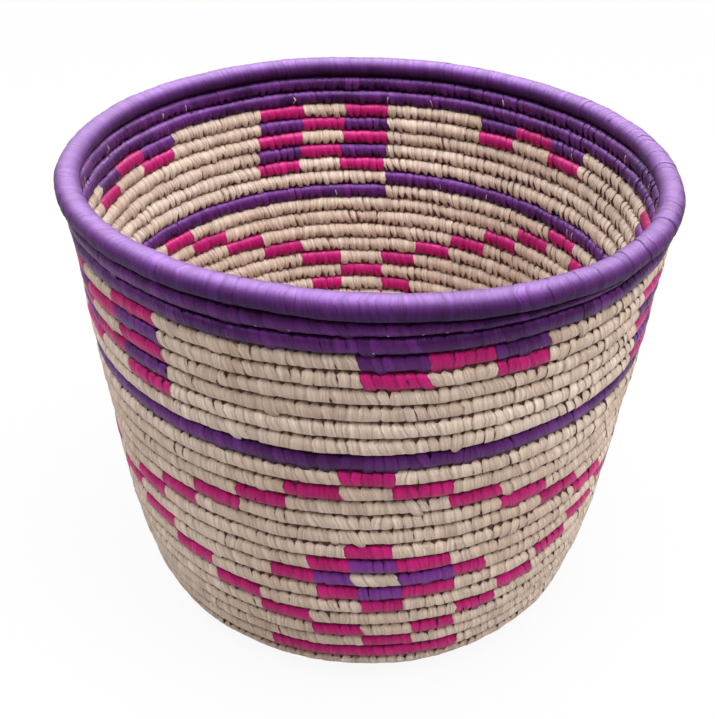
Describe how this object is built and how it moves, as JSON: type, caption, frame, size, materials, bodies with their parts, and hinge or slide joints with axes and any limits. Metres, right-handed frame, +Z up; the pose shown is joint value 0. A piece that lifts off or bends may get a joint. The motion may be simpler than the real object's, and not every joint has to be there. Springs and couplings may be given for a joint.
{
  "type": "coiled grass basket",
  "caption": "Round open basket wound from a bound grass coil, flaring slightly to a thick purple rim, with stepped diamonds and checks in pink and purple on natural leaf.",
  "frame": {"origin": "middle of the underside, where the basket stands", "axes": "+Z up through the open mouth, -Y towards the viewer of the picture, +X to the viewer's right"},
  "size_m": [0.2843, 0.2846, 0.2304],
  "materials": {
    "natural_leaf": "dry split leaf bound over grass, fine fibres, matt with a slight sheen",
    "purple_leaf": "purple-dyed split leaf bound closely over grass, smooth with a soft gloss"
  },
  "bodies": {
    "root": {"base_round_01": "natural_leaf", "base_round_02": "natural_leaf", "base_round_03": "natural_leaf", "base_round_04": "natural_leaf", "base_round_05": "natural_leaf", "base_round_06": "natural_leaf", "base_round_07": "natural_leaf", "base_round_08": "natural_leaf", "base_round_09": "natural_leaf", "base_round_10": "natural_leaf", "wall_round_01": "natural_leaf", "wall_round_02": "natural_leaf", "wall_round_03": "natural_leaf", "wall_round_04": "natural_leaf", "wall_round_05": "natural_leaf", "wall_round_06": "natural_leaf", "wall_round_07": "natural_leaf", "wall_round_08": "natural_leaf", "wall_round_09": "natural_leaf", "wall_round_10": "natural_leaf", "wall_round_11": "natural_leaf", "wall_round_12": "natural_leaf", "wall_round_13": "natural_leaf", "wall_round_14": "natural_leaf", "wall_round_15": "natural_leaf", "wall_round_16": "natural_leaf", "wall_round_17": "purple_leaf", "wall_round_18": "natural_leaf", "wall_round_19": "natural_leaf", "wall_round_20": "natural_leaf", "wall_round_21": "natural_leaf", "wall_round_22": "natural_leaf", "wall_round_23": "natural_leaf", "wall_round_24": "purple_leaf", "wall_round_25": "purple_leaf", "rim_round": "purple_leaf"}
  },
  "joints": []
}
